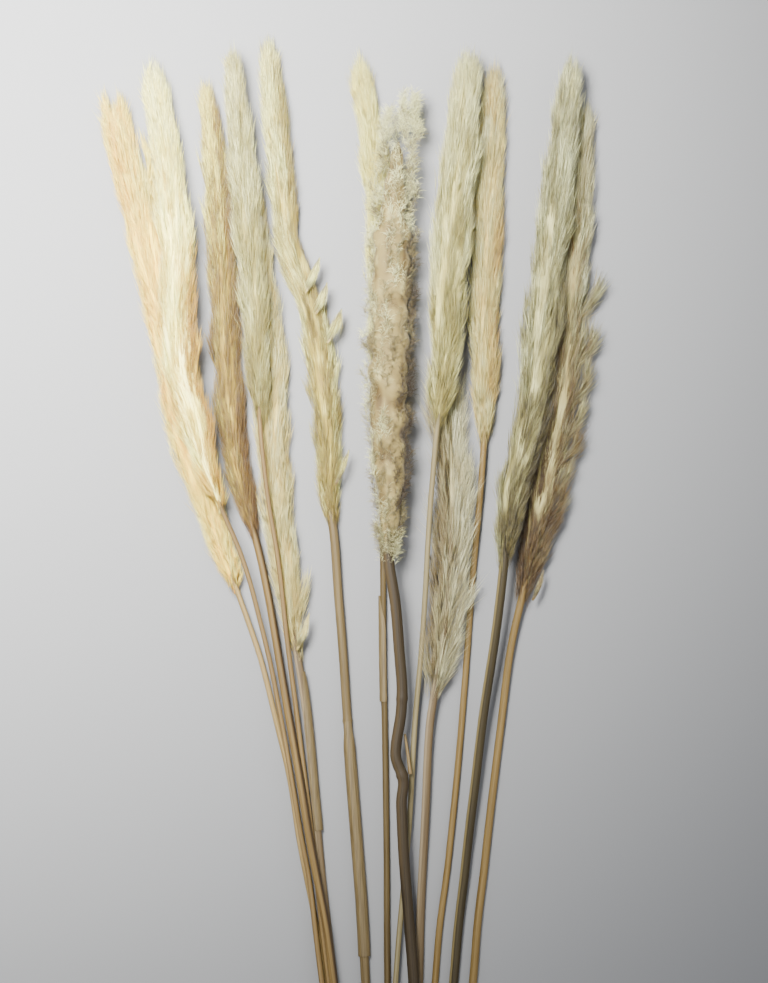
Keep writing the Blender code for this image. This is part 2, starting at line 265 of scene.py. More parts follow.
def stem(number, finish, slot, rings=(), reach=5):
    """A tube round the stalk's line: the radius swells like a bell curve at each leaf ring and wobbles as
    a slow wave along and around it. At the foot, rings of growing depth hollow out the pith."""
    route, radius = stalk_line(number, reach)
    along = distance_along(route)
    forward, side, up = directions(route)
    turn = 2 * np.pi * np.arange(STEM_SIDES) / STEM_SIDES
    for level in rings:
        radius = radius * (1 + RING_SWELL * np.exp(-(((route[:, 1] - level) / RING_REACH) ** 2)))
    phase = int(number) * WOBBLE_PHASE
    quick, slow = (along[:, None] * pitch for pitch in WOBBLE_PITCHES)
    wave = np.sin(quick + phase + 2 * np.sin(turn)) * np.sin(slow - phase + turn)
    ring_radius = radius[:, None] * (1 + WOBBLE * wave)
    spoke = np.cos(turn)[None, :, None] * side[:, None] + np.sin(turn)[None, :, None] * up[:, None]
    tube = route[:, None] + ring_radius[..., None] * spoke
    cut = [
        route[0] + share * ring_radius[0][:, None] * spoke[0] + depth * forward[0]
        for share, depth in CUT_RINGS[::-1]
    ]
    points = np.concatenate([np.stack(cut), tube[1:]])
    points[..., 2] = np.maximum(points[..., 2], 0)
    flat = np.stack([np.cos(turn), np.zeros(STEM_SIDES), np.sin(turn)], axis=1) * radius[0]
    straight = flat[None] * np.ones((len(points), 1, 1))
    straight[:, :, 1] += np.concatenate([np.zeros(len(cut)), along[1:]])[:, None]
    points, faces = capped(points)
    straight = np.concatenate([straight.reshape(-1, 3), [(0, 0, 0), (0, along[-1], 0)]])
    in_cut = np.arange(len(faces[0])) < (len(cut) - 2) * STEM_SIDES
    pith = np.concatenate([in_cut, np.ones(STEM_SIDES), np.zeros(STEM_SIDES)])
    finishes = [finish, pith_finish]
    piece = make_piece(f"stalk_{number}", points, faces, {"straight": straight}, finishes, pith)
    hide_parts(f"stem_{number}")


def mixed_node(nodes, links, factor, low, high, blend="MIX"):
    """A colour mix of two colours or sockets by a factor."""
    mix = nodes.new("ShaderNodeMix")
    mix.data_type = "RGBA"
    mix.blend_type = blend
    for socket, value in ((mix.inputs[0], factor), (mix.inputs[6], low), (mix.inputs[7], high)):
        if isinstance(value, bpy.types.NodeSocket):
            links.new(value, socket)
        elif isinstance(value, tuple):
            socket.default_value = (*value, 1)
        else:
            socket.default_value = value
    return mix.outputs[2]


def ramp_node(nodes, links, source, stops):
    """A colour ramp over a value, from pairs of place and colour."""
    ramp = nodes.new("ShaderNodeValToRGB")
    elements = ramp.color_ramp.elements
    while len(elements) < len(stops):
        elements.new(0.5)
    for element, (place, colour) in zip(elements, stops):
        element.position = place
        element.color = (*colour, 1)
    links.new(source, ramp.inputs["Fac"])
    return ramp.outputs["Color"]


def noise_node(nodes, links, vector, stretch, detail=3.0):
    """Noise over a vector scaled by a stretch along each of its axes."""
    mapping = nodes.new("ShaderNodeMapping")
    mapping.inputs["Scale"].default_value = stretch
    links.new(vector, mapping.inputs["Vector"])
    noise = nodes.new("ShaderNodeTexNoise")
    noise.inputs["Scale"].default_value = 1.0
    noise.inputs["Detail"].default_value = detail
    links.new(mapping.outputs["Vector"], noise.inputs["Vector"])
    return noise.outputs["Fac"]


def add_relief(nodes, links, shader, height, strength):
    """A low relief of the shader's surface from a height."""
    bump = nodes.new("ShaderNodeBump")
    bump.inputs["Strength"].default_value = strength
    bump.inputs["Distance"].default_value = FIBRE_RELIEF
    links.new(height, bump.inputs["Height"])
    links.new(bump.outputs["Normal"], shader.inputs["Normal"])


def attribute_node(nodes, label, output):
    """What a mesh stores at its points under a label."""
    reader = nodes.new("ShaderNodeAttribute")
    reader.attribute_name = label
    return reader.outputs[output]


FIBRE_STRETCH = (1500, 22, 1500)  # of noise, per metre: fine across a stem and long along it
BLOTCH_STRETCH = (180, 14, 180)
STAIN_SHARE = 0.55
STRIP_FADE = 0.02  # how far along the stem the lower end of a strip fades
FIBRE_RELIEF = 0.0003
PORE_SCALE = 2600
PITH_PALE, PITH_DEEP = (0.72, 0.62, 0.42), (0.36, 0.26, 0.13)


def stem_finish(name, pale, deep, stain, strip=None, strip_from=0.0, strip_to=0.0, strip_foot=0.0):
    """Dry stalk: fine fibres along it between a pale and a deep colour, slow blotches of a stain, and a
    low relief along the fibres. A strip along one side may have its own colour: it fades in from one
    sideways place to another, and above a distance from the stem's foot."""
    material = bpy.data.materials.new(name)
    material.use_nodes = True
    nodes, links = material.node_tree.nodes, material.node_tree.links
    shader = nodes["Principled BSDF"]
    straight = attribute_node(nodes, "straight", "Vector")
    fibres = noise_node(nodes, links, straight, FIBRE_STRETCH, 4)
    blotches = noise_node(nodes, links, straight, BLOTCH_STRETCH, 3)
    fibre_colour = ramp_node(nodes, links, fibres, [(0.32, deep), (0.56, pale), (0.75, pale)])
    spread = ramp_node(nodes, links, blotches, [(0.42, (0, 0, 0)), (0.68, (1, 1, 1))])
    colour = mixed_node(nodes, links, spread, fibre_colour, stain)
    colour = mixed_node(nodes, links, STAIN_SHARE, fibre_colour, colour)
    if strip is not None:
        split = nodes.new("ShaderNodeSeparateXYZ")
        links.new(straight, split.inputs[0])
        edge = nodes.new("ShaderNodeMapRange")
        edge.inputs["From Min"].default_value = strip_from
        edge.inputs["From Max"].default_value = strip_to
        links.new(split.outputs["X"], edge.inputs["Value"])
        rise = nodes.new("ShaderNodeMapRange")
        rise.inputs["From Min"].default_value = strip_foot - STRIP_FADE
        rise.inputs["From Max"].default_value = strip_foot
        links.new(split.outputs["Y"], rise.inputs["Value"])
        both = nodes.new("ShaderNodeMath")
        both.operation = "MULTIPLY"
        links.new(edge.outputs["Result"], both.inputs[0])
        links.new(rise.outputs["Result"], both.inputs[1])
        colour = mixed_node(nodes, links, both.outputs[0], colour, strip)
    links.new(colour, shader.inputs["Base Color"])
    rough = nodes.new("ShaderNodeMapRange")
    rough.inputs["To Min"].default_value = 0.45
    rough.inputs["To Max"].default_value = 0.7
    links.new(fibres, rough.inputs["Value"])
    links.new(rough.outputs["Result"], shader.inputs["Roughness"])
    shader.inputs["Specular IOR Level"].default_value = 0.3
    add_relief(nodes, links, shader, fibres, 0.35)
    return material


def pith_material():
    """The pale spongy inside that the cut foot of a stem shows."""
    material = bpy.data.materials.new("stem_pith")
    material.use_nodes = True
    nodes, links = material.node_tree.nodes, material.node_tree.links
    shader = nodes["Principled BSDF"]
    place = nodes.new("ShaderNodeTexCoord").outputs["Object"]
    pores = noise_node(nodes, links, place, (PORE_SCALE, PORE_SCALE, PORE_SCALE), 2)
    colour = ramp_node(nodes, links, pores, [(0.35, PITH_DEEP), (0.62, PITH_PALE)])
    links.new(colour, shader.inputs["Base Color"])
    shader.inputs["Roughness"].default_value = 0.9
    return material


pith_finish = pith_material()
straw = stem_finish(
    "straw_stalk",
    pale=(0.30, 0.21, 0.08),
    deep=(0.18, 0.12, 0.04),
    stain=(0.23, 0.155, 0.06),
)
light_straw = stem_finish(
    "light_stalk",
    pale=(0.22, 0.185, 0.093),
    deep=(0.14, 0.108, 0.045),
    stain=(0.17, 0.135, 0.064),
)
dull_straw = stem_finish(
    "dull_stalk",
    pale=(0.14, 0.10, 0.042),
    deep=(0.076, 0.05, 0.017),
    stain=(0.10, 0.069, 0.027),
)
tan_straw = stem_finish(
    "tan_stalk",
    pale=(0.097, 0.067, 0.023),
    deep=(0.051, 0.032, 0.009),
    stain=(0.07, 0.046, 0.015),
)
rosy = stem_finish(
    "rosy_stalk",
    pale=(0.19, 0.123, 0.045),
    deep=(0.108, 0.066, 0.021),
    stain=(0.137, 0.086, 0.033),
)
two_tone = stem_finish(
    "two_tone_stalk",
    pale=(0.14, 0.098, 0.048),
    deep=(0.073, 0.048, 0.021),
    stain=(0.10, 0.068, 0.033),
    strip=(0.26, 0.20, 0.12),
    strip_from=-0.0006,
    strip_to=-0.0014,
)
ochre = stem_finish(
    "ochre_stalk",
    pale=(0.195, 0.127, 0.039),
    deep=(0.118, 0.072, 0.018),
    stain=(0.15, 0.097, 0.029),
)
brown = stem_finish(
    "brown_stalk",
    pale=(0.178, 0.113, 0.034),
    deep=(0.092, 0.054, 0.015),
    stain=(0.125, 0.078, 0.025),
    strip=(0.05, 0.03, 0.013),
    strip_from=0.0006,
    strip_to=0.0016,
)
olive = stem_finish(
    "olive_stalk",
    pale=(0.038, 0.026, 0.0115),
    deep=(0.016, 0.010, 0.004),
    stain=(0.027, 0.018, 0.008),
    strip=(0.062, 0.042, 0.019),
    strip_from=-0.0008,
    strip_to=-0.0018,
    strip_foot=0.235,
)
striped = stem_finish(
    "striped_stalk",
    pale=(0.043, 0.032, 0.0115),
    deep=(0.019, 0.0135, 0.004),
    stain=(0.03, 0.022, 0.008),
    strip=(0.19, 0.148, 0.062),
    strip_from=-0.0013,
    strip_to=-0.0020,
)

stem("01", straw, "stem_straw")
stem("02", rosy, "stem_straw")
stem("03", brown, "stem_brown")
stem("04", rosy, "stem_straw")
stem("05", two_tone, "stem_straw")
stem("06", dull_straw, "stem_straw", rings=(-0.0458,))
stem("07", tan_straw, "stem_straw", rings=(-0.0320,))
stem("08", olive, "stem_brown", rings=(-0.0308, -0.0780), reach=2)
stem("09", light_straw, "stem_straw")
stem("10", ochre, "stem_straw")
stem("11", two_tone, "stem_straw")
stem("12", striped, "stem_brown")
stem("13", ochre, "stem_straw")


# Cream plumes.
# The flower head of a stalk: side branches leave the axis and lean up it, each carrying a lock of long
# silky hairs. Cream hairs with honey streaks, the inner ones painted darker as shade.

HAIR_RADIUS = 0.00013
HAIR_RANGE = (0.7, 1.3)  # of that radius
FLOOR_GAP = 0.0003
GOLDEN_ANGLE = 2.39996  # round the axis from one side branch to the next
ROOT_SHARE = 0.12  # how far out of the axis a side branch carries its first hairs
LOCK_RADIUS = 0.0017
FOOT_OVERHANG = 0.003  # the lowest locks start this far below the plume's foot
HIGHEST_LOCK = 0.020  # the highest ones start this far below its tip
TIP_GAP = 0.003
LOCK_SIZE_AT, LOCK_SIZE = (0, 0.15, 0.3, 0.75, 1), (0.45, 0.8, 1, 0.85, 0.4)  # up the plume
SWELL_WAVES = 6
DOWN_ROWS, DOWN_SIDES = 150, 28
DOWN_WIDTH_AT = (0, 0.05, 0.2, 0.75, 0.9, 0.97, 1)
# The down lies inside the hairs and is painted part way into the inner shade colour.
DOWN_SHADE_DEPTH = 0.45


def strands(path, radius, start):
    """Thin closed hairs. Each is a path of points: the first and the last stay points, and round each of
    the others goes a triangle of the hair's radius there, turned by a start angle."""
    count, stops = path.shape[:2]
    forward = np.gradient(path, axis=1)
    forward /= np.linalg.norm(forward, axis=2)[..., None]
    across = np.cross(forward, (0.0, 0.0, 1.0)) + 1e-6
    across /= np.linalg.norm(across, axis=2)[..., None]
    other = np.cross(forward, across)
    turn = start[:, None] + 2 * np.pi * np.arange(3) / 3
    spoke = (
        np.cos(turn)[:, None, :, None] * across[:, 1:-1, None]
        + np.sin(turn)[:, None, :, None] * other[:, 1:-1, None]
    )
    rings = path[:, 1:-1, None] + radius[..., None, None] * spoke
    points = np.concatenate([path[:, :1], rings.reshape(count, -1, 3), path[:, -1:]], axis=1)
    size = points.shape[1]
    i, j = np.arange(3), (np.arange(3) + 1) % 3
    parts = [np.stack([1 + j, 1 + i, np.zeros(3, int)], axis=1)]
    for ring in range(stops - 3):
        low, high = 1 + 3 * ring, 4 + 3 * ring
        parts.append(np.stack([low + i, low + j, high + j], axis=1))
        parts.append(np.stack([low + i, high + j, high + i], axis=1))
    last = 1 + 3 * (stops - 3)
    parts.append(np.stack([last + i, last + j, np.full(3, size - 1)], axis=1))
    pattern = np.concatenate(parts)
    faces = (np.arange(count) * size)[:, None, None] + pattern
    owner = np.concatenate([[0], np.repeat(np.arange(1, stops - 1), 3), [stops - 1]])
    return points.reshape(-1, 3), faces.reshape(-1, 3), owner


def plume_space(number):
    """What turns a distance up the plume's axis, a direction round it and a share of the plume's half
    width into a place: slices of the frame's plume, softened, with the line carried on past the tip."""
    node = f"plume_{number}"
    middle, half = slices(node, levels_of(node))
    middle, half = softened(middle, 4), softened(half, 4)
    along = distance_along(middle)
    forward, side, up = directions(middle)
    width, height = half[:, 0] * np.abs(forward[:, 1]), half[:, 1]
    columns = np.concatenate([middle, forward, side, up, width[:, None], height[:, None]], axis=1)

    def place(at, heading, out):
        inside = np.clip(at, 0, along[-1])
        here = np.stack([np.interp(inside, along, column) for column in columns.T], axis=-1)
        centre, ahead, aside, above = (here[..., first : first + 3] for first in (0, 3, 6, 9))
        outward = (
            (np.cos(heading) * here[..., 12])[..., None] * aside
            + (np.sin(heading) * here[..., 13])[..., None] * above
        )
        return centre + (at - inside)[..., None] * ahead + out[..., None] * outward

    return along[-1], place


def swelling(rng, bulge, wave):
    """How much the outline swells at a place: the sum of six sine waves of about one wave's length up the
    plume, each with a whole number of turns round it."""
    pitch = 2 * np.pi / (wave * rng.uniform(0.6, 1.6, SWELL_WAVES))
    turns = rng.integers(-2, 3, SWELL_WAVES)
    phase = rng.uniform(0, 2 * np.pi, SWELL_WAVES)

    def swell(at, heading):
        waves = np.sin(at[..., None] * pitch + heading[..., None] * turns + phase)
        return bulge * waves.sum(axis=-1) / np.sqrt(SWELL_WAVES / 2)

    return swell


def within(values, low, high, edge):
    """One between low and high and zero outside, fading in a straight line over an edge's width."""
    return np.clip(np.minimum(values - low, high - values) / edge + 0.5, 0, 1)


def lay_locks(rng, length, locks, lock_length, out, tone, tufts, notch, point, bare):
    """Where each lock starts, its direction round the axis, a golden angle on from the last, how far out
    it leans, its length, how warm its colour is, and how far up its hairs may end."""
    start = -FOOT_OVERHANG + (length + FOOT_OVERHANG - HIGHEST_LOCK) * np.linspace(0, 1, locks) ** 1.05
    start = start + rng.normal(0, 0.002, locks)
    heading = (np.arange(locks) * GOLDEN_ANGLE + rng.normal(0, 0.35, locks)) % (2 * np.pi)
    outward = rng.uniform(*out, locks)
    warmth = tone + rng.normal(0, 0.10, locks)
    longest, shortest = lock_length
    reach = longest * np.interp(np.clip(start / length, 0, 1), LOCK_SIZE_AT, LOCK_SIZE)
    reach = np.maximum(reach * rng.uniform(0.8, 1.2, locks), shortest)
    for tuft in tufts:
        many = tuft["locks"]
        start = np.append(start, length * tuft["at"] + rng.normal(0, 0.001, many))
        reach = np.append(reach, tuft["long"] * rng.uniform(0.8, 1.05, many))
        heading = np.append(heading, tuft["toward"] + rng.normal(0, 0.12, many))
        outward = np.append(outward, tuft["out"] * rng.uniform(0.88, 1.03, many))
        warmth = np.append(warmth, tone - 0.05 + rng.normal(0, 0.06, many))
    limit = length - TIP_GAP - notch * np.abs(np.sin(heading)) ** 0.5
    limit = limit + rng.normal(0, 0.003, len(heading))
    outward = outward * np.interp(start + reach, (0.80 * length, length), (1, point))
    low, high, less = bare
    bared = less * within(start / length, low, high, 0.05)
    outward = outward * (1 - bared * np.clip(np.cos(heading), 0, 1))
    reach = np.maximum(np.minimum(reach, 0.85 * (limit - start)), 0.004)
    return start, heading, outward, reach, warmth, limit


def down_body(rng, place, swell, length, inner, point, collar):
    """The closed body of down under the hairs: rings a share of the plume's outline wide, which swell with
    it, and how warm its colour is at each point, less where it swells and more in the hollows, as painted
    light and shade."""
    at = np.linspace(0, length, DOWN_ROWS)[:, None] + np.zeros(DOWN_SIDES)
    turn = 2 * np.pi * np.arange(DOWN_SIDES) / DOWN_SIDES + 0 * at
    widths = (collar, max(collar, 0.7), 1, 1, 0.55 * point, 0.4 * point, 0.05)
    swollen = swell(at, turn)
    body = np.interp(at / length, DOWN_WIDTH_AT, widths) * inner * (1 + swollen)
    rings = place(at, turn, body + rng.normal(0, 0.012, at.shape))
    rings[..., 2] = np.maximum(rings[..., 2], FLOOR_GAP)
    return rings, softened(rng.normal(0, 0.5, at.shape), 9) - 1.5 * swollen


def plume(
    number,
    finish,
    slot,
    locks=320,
    hairs=66,
    lock_length=(0.048, 0.014),
    hair_length=0.016,
    thick=1.0,
    flare=0.03,
    spread=0.05,
    curl=0.0,
    out=(0.45, 0.88),
    inner=0.62,
    bulge=0.05,
    wave=0.045,
    notch=0.0,
    point=0.85,
    crown=0.009,
    collar=0.3,
    bare=(0.0, 0.0, 0.0),
    tone=0.35,
    fade=(0.0, 0.0),
    streaks=(),
    tufts=(),
):
    """Hairs in locks over a body of down. A lock starts on the axis and runs up and out towards the
    plume's outline as a quarter sine wave. Its hairs start along it, a little to the side of it. Each runs
    as an arc of its curl angle, and bends outwards and at random with the square of the way to its tip.
    Tufts are runs of locks that stand out of the outline. A notch parts the tip, a point narrows it, and
    bare is a stretch where the right side leans out less. The down starts a collar wide, as a share of its
    full width, and ends a crown below the tip. The colour has a tone, which fades to warmer or paler at
    the foot and at the tip, and streaks, each beside the axis between two heights: most are the hairs'
    own colour, and some are painted shade down one side. The colour is also painted paler where the
    outline swells and darker in its hollows, and darker near the axis, as painted light and shade."""
    rng = np.random.default_rng(100 + int(number))
    length, place = plume_space(number)
    swell = swelling(rng, bulge, wave)
    start, heading, outward, reach, warmth, limit = lay_locks(
        rng, length, locks, lock_length, out, tone, tufts, notch, point, bare
    )
    share = np.clip(start / length, 0, 1)
    count = (len(start), hairs)
    s = rng.beta(1.7, 1.3, count)
    if curl:
        s = rng.random(count)

    def lock(s):
        at, direction = start[:, None] + reach[:, None] * s, heading[:, None] + 0 * s
        rise = np.sin(np.pi / 2 * np.clip(ROOT_SHARE + (1 - ROOT_SHARE) * s, 0, 1.2))
        if curl:
            rise = 0.9 + 0.1 * rise
        return place(at, direction, outward[:, None] * rise * (1 + swell(at, direction)))

    root = lock(s)
    forward = lock(s + 0.05) - root
    forward /= np.linalg.norm(forward, axis=2)[..., None]
    aside = root - place(start[:, None] + reach[:, None] * s, 0 * s, 0 * s)
    aside /= np.linalg.norm(aside, axis=2)[..., None] + 1e-9
    loose = LOCK_RADIUS * (1.15 - 0.4 * s)[..., None] * rng.normal(0, 0.55, (*count, 3))
    root = root + loose
    size = hair_length * rng.uniform(0.55, 1.4, count) * np.interp(share, (0, 0.8, 1), (0.8, 1, 0.8))[:, None]
    room = limit[:, None] + rng.normal(0.0, 0.007, count) - start[:, None] - reach[:, None] * s
    size = np.clip(size, 0.002, np.maximum(room, 0.0025))
    wild = rng.random(count) < 0.035
    bend = aside * (flare * rng.uniform(0.0, 2.0, count))[..., None] + loose / LOCK_RADIUS * 0.05
    bend = bend + rng.normal(0, 1, (*count, 3)) * (spread * np.where(wild, 2.2, 1.0))[..., None]
    t = np.linspace(0, 1, 4 if curl else 3)[:, None]
    side = np.cross(forward, rng.normal(0, 1, (*count, 3)))
    side /= np.linalg.norm(side, axis=2)[..., None]
    angle = (curl * rng.uniform(0.5, 1.4, count) + 0.01)[..., None, None]
    path = root[..., None, :] + size[..., None, None] * (
        np.sin(angle * t) / angle * forward[..., None, :]
        + (1 - np.cos(angle * t)) / angle * side[..., None, :]
        + t**2 * bend[..., None, :]
    )
    path = path.reshape(-1, len(t), 3)
    path[..., 2] = np.maximum(path[..., 2], rng.uniform(0.0002, 0.0012, len(path))[:, None])
    thin = np.linspace(1, 0.7, len(t) - 2) * np.where(wild.reshape(-1, 1), 0.75, 1)
    radius = HAIR_RADIUS * thick * rng.uniform(*HAIR_RANGE, (len(path), 1)) * thin
    points, faces, owner = strands(path, radius, rng.uniform(0, 2 * np.pi, len(path)))

    # Painted light and shade: a lock is paler where the outline swells out and darker in the hollows between
    # swellings.
    warmth = warmth - 1.5 * swell(start, heading) + np.interp(share, (0, 1), fade)
    for streak in streaks:
        near = np.exp(-(((np.cos(heading) - streak["beside"]) / 0.5) ** 2))
        warmth = warmth + streak["strength"] * near * within(share, streak["low"], streak["high"], 0.06)
    warmth = (warmth[:, None] + rng.normal(0, 0.07, count)).reshape(-1, 1)
    hair_tone = (warmth + np.interp(t[:, 0], (0, 1), (0.07, -0.10)))[:, owner].ravel()
    # How far out each hair point lies; the finish paints shade on the ones near the axis.
    rise = 1 if curl else np.sin(np.pi / 2 * s)
    hair_shade_depth = ((rise * outward[:, None] + 0 * s).reshape(-1, 1) + 0.2 * t[:, 0])[:, owner].ravel()

    down, shade = down_body(rng, place, swell, length - notch - crown, inner, point, collar)
    down, down_faces = capped(down)
    # The down's painted shade only darkens its hollows: it is never paler than the plume's tone.
    shade = np.maximum(shade + tone, tone + 0.03).ravel()
    values = {
        "streak": np.concatenate([hair_tone, shade, [tone, tone]]),
        "depth": np.concatenate([hair_shade_depth, np.full(len(down), DOWN_SHADE_DEPTH)]),
    }
    faces = [faces] + [part + len(points) for part in down_faces]
    piece = make_piece(f"hair_{number}", np.concatenate([points, down]), faces, values, [finish])
    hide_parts(f"plume_{number}")


DRIFT_STRETCH = (160, 60, 160)
DRIFT_STRENGTH = 0.5
TONE_STOPS = (0.05, 0.35, 0.68, 1.0)


def hair_finish(name, tip, pale, warm, deep, inner):
    """Silky hair: the stored streak picks a colour from its pale tip to its deep one, with a slow drift
    over the plume, and the hairs near the axis are darkened towards an inner colour as painted shade."""
    material = bpy.data.materials.new(name)
    material.use_nodes = True
    nodes, links = material.node_tree.nodes, material.node_tree.links
    shader = nodes["Principled BSDF"]
    streak = attribute_node(nodes, "streak", "Fac")
    depth = attribute_node(nodes, "depth", "Fac")
    place = nodes.new("ShaderNodeTexCoord").outputs["Object"]
    drift = noise_node(nodes, links, place, DRIFT_STRETCH, 2)
    drifted = nodes.new("ShaderNodeMath")
    drifted.operation = "MULTIPLY_ADD"
    drifted.inputs[1].default_value = DRIFT_STRENGTH
    links.new(drift, drifted.inputs[0])
    links.new(streak, drifted.inputs[2])
    centred = nodes.new("ShaderNodeMath")
    centred.operation = "SUBTRACT"
    centred.inputs[1].default_value = DRIFT_STRENGTH / 2
    links.new(drifted.outputs[0], centred.inputs[0])
    colour = ramp_node(nodes, links, centred.outputs[0], list(zip(TONE_STOPS, (tip, pale, warm, deep))))
    # Painted shade: points stored as lying near the axis are multiplied towards the inner colour.
    shade = ramp_node(nodes, links, depth, [(0.1, inner), (0.75, (1, 1, 1))])
    links.new(mixed_node(nodes, links, 1.0, colour, shade, "MULTIPLY"), shader.inputs["Base Color"])
    shader.inputs["Roughness"].default_value = 0.7
    shader.inputs["Specular IOR Level"].default_value = 0.3
    shader.inputs["Sheen Weight"].default_value = 0.15
    return material


cream_hair = hair_finish(
    "cream_hair",
    tip=(0.90, 0.82, 0.26),
    pale=(0.88, 0.73, 0.13),
    warm=(0.86, 0.56, 0.06),
    deep=(0.64, 0.31, 0.04),
    inner=(0.92, 0.78, 0.5),
)
milk_hair = hair_finish(
    "milk_hair",
    tip=(0.98, 0.97, 0.42),
    pale=(0.98, 0.95, 0.27),
    warm=(0.68, 0.46, 0.05),
    deep=(0.46, 0.26, 0.03),
    inner=(0.92, 0.80, 0.55),
)
gold_hair = hair_finish(
    "gold_hair",
    tip=(0.92, 0.87, 0.22),
    pale=(0.34, 0.26, 0.042),
    warm=(0.20, 0.115, 0.019),
    deep=(0.12, 0.06, 0.009),
    inner=(0.80, 0.62, 0.38),
)
honey_hair = hair_finish(
    "honey_hair",
    tip=(0.68, 0.67, 0.36),
    pale=(0.61, 0.53, 0.18),
    warm=(0.52, 0.37, 0.09),
    deep=(0.35, 0.21, 0.045),
    inner=(0.85, 0.70, 0.44),
)
sand_hair = hair_finish(
    "sand_hair",
    tip=(0.86, 0.86, 0.34),
    pale=(0.36, 0.30, 0.062),
    warm=(0.26, 0.195, 0.044),
    deep=(0.17, 0.115, 0.025),
    inner=(0.85, 0.70, 0.44),
)

RIGHT, LEFT = 0.15, np.pi - 0.15  # directions round the axis, a little above level

plume(
    "01",
    cream_hair,
    "plume_cream",
    tone=0.40,
    notch=0.012,
    point=1.0,
    streaks=[
        dict(beside=-0.5, low=0.1, high=0.9, strength=0.25),
        dict(beside=0.7, low=0.3, high=0.6, strength=0.3),
    ],
    tufts=[dict(at=0.74, long=0.040, toward=RIGHT, out=1.4, locks=5)],
)
plume(
    "02",
    milk_hair,
    "plume_cream",
    tone=0.10,
    fade=(0.60, -0.04),
    streaks=[dict(beside=0.8, low=0.05, high=0.45, strength=0.4)],
)
plume(
    "03",
    gold_hair,
    "plume_cream",
    tone=0.35,
    fade=(0.35, -0.3),
    point=0.6,
    # This streak is painted shade down the right side.
    streaks=[dict(beside=0.9, low=0.0, high=0.9, strength=0.3)],
    tufts=[dict(at=0.955, long=0.018, toward=LEFT, out=0.5, locks=3)],
)
plume(
    "05",
    honey_hair,
    "plume_cream",
    tone=0.35,
    tufts=[dict(at=0.05, long=0.030, toward=RIGHT, out=1.3, locks=3)],
)
plume(
    "06",
    sand_hair,
    "plume_cream",
    tone=0.31,
    fade=(0.15, -0.28),
    bare=(0.30, 0.62, 0.42),
    streaks=[
        dict(beside=0.8, low=0.3, high=0.9, strength=0.3),
        dict(beside=0.2, low=0.0, high=0.4, strength=0.2),
    ],
)
plume(
    "10",
    honey_hair,
    "plume_cream",
    tone=0.34,
    streaks=[dict(beside=0.9, low=0.0, high=0.5, strength=0.3)],
)


# Ivory plumes.
# Paler and greyer hairs. The low short plume is thin and wispy: its hairs stand off a thin core, with a
# tan band along one side.

linen_hair = hair_finish(
    "linen_hair",
    tip=(0.74, 0.73, 0.34),
    pale=(0.39, 0.355, 0.108),
    warm=(0.25, 0.205, 0.048),
    deep=(0.16, 0.118, 0.026),
    inner=(0.82, 0.72, 0.48),
)
ivory_hair = hair_finish(
    "ivory_hair",
    tip=(0.82, 0.80, 0.28),
    pale=(0.70, 0.63, 0.15),
    warm=(0.60, 0.48, 0.09),
    deep=(0.42, 0.30, 0.06),
    inner=(0.82, 0.72, 0.48),
)
smoky_hair = hair_finish(
    "smoky_hair",
    tip=(0.78, 0.77, 0.48),
    pale=(0.51, 0.465, 0.235),
    warm=(0.25, 0.19, 0.075),
    deep=(0.16, 0.108, 0.04),
    inner=(0.62, 0.52, 0.36),
)
plume(
    "04",
    linen_hair,
    "plume_ivory",
    tone=0.28,
    fade=(0.25, -0.2),
    point=0.6,
    tufts=[dict(at=0.955, long=0.020, toward=LEFT, out=0.5, locks=3)],
)
plume("07", ivory_hair, "plume_ivory", tone=0.25)
plume(
    "09",
    linen_hair,
    "plume_ivory",
    tone=0.20,
    fade=(0.15, -0.15),
    streaks=[dict(beside=0.3, low=0.0, high=0.6, strength=0.15)],
)
plume(
    "11",
    smoky_hair,
    "plume_ivory",
    locks=130,
    hairs=56,
    hair_length=0.020,
    thick=0.85,
    flare=0.12,
    spread=0.09,
    out=(0.45, 1.0),
    inner=0.10,
    tone=0.22,
    streaks=[dict(beside=-0.8, low=0.0, high=0.7, strength=0.55)],
)


# Woolly plume.
# Short curled hairs, matted into soft lumps, painted paler on the lumps and brown in the hollows
# between them as painted shade. A ruff closes its foot, and pale tufts its top.

woolly_hair = hair_finish(
    "woolly_hair",
    tip=(0.72, 0.72, 0.36),
    pale=(0.245, 0.203, 0.078),
    warm=(0.112, 0.078, 0.025),
    deep=(0.044, 0.027, 0.009),
    inner=(0.75, 0.60, 0.40),
)
plume(
    "08",
    woolly_hair,
    "plume_woolly",
    locks=490,
    hairs=28,
    lock_length=(0.010, 0.006),
    hair_length=0.0058,
    flare=0.08,
    spread=0.10,
    curl=2.0,
    out=(0.82, 1.0),
    inner=0.75,
    bulge=0.08,
    wave=0.023,
    point=1.0,
    crown=0.036,
    collar=0.85,
    tone=0.34,
    fade=(-0.02, -0.17),
    # These streaks are painted shade: browner down the right side, most over the lower part.
    streaks=[
        dict(beside=0.9, low=0.05, high=0.65, strength=0.5),
        dict(beside=0.5, low=0.08, high=0.4, strength=0.4),
    ],
    tufts=[
        dict(at=0.885, long=0.030, toward=RIGHT, out=1.15, locks=16),
        dict(at=0.89, long=0.030, toward=1.4, out=0.8, locks=18),
        dict(at=0.90, long=0.026, toward=0.7, out=1.0, locks=14),
        dict(at=0.87, long=0.020, toward=LEFT, out=0.85, locks=10),
        dict(at=0.0, long=0.016, toward=0.4, out=1.2, locks=6),
        dict(at=0.0, long=0.016, toward=1.5, out=1.1, locks=6),
        dict(at=0.0, long=0.016, toward=2.7, out=1.2, locks=6),
    ],
)


# Khaki plumes.
# The two on the right: dull greenish and rusty hairs. The outer one carries its side branches as separate
# small tufts along its right side.

SIDE_TUFTS_AT = (0.04, 0.09, 0.15, 0.20, 0.26, 0.32, 0.39, 0.47, 0.56)

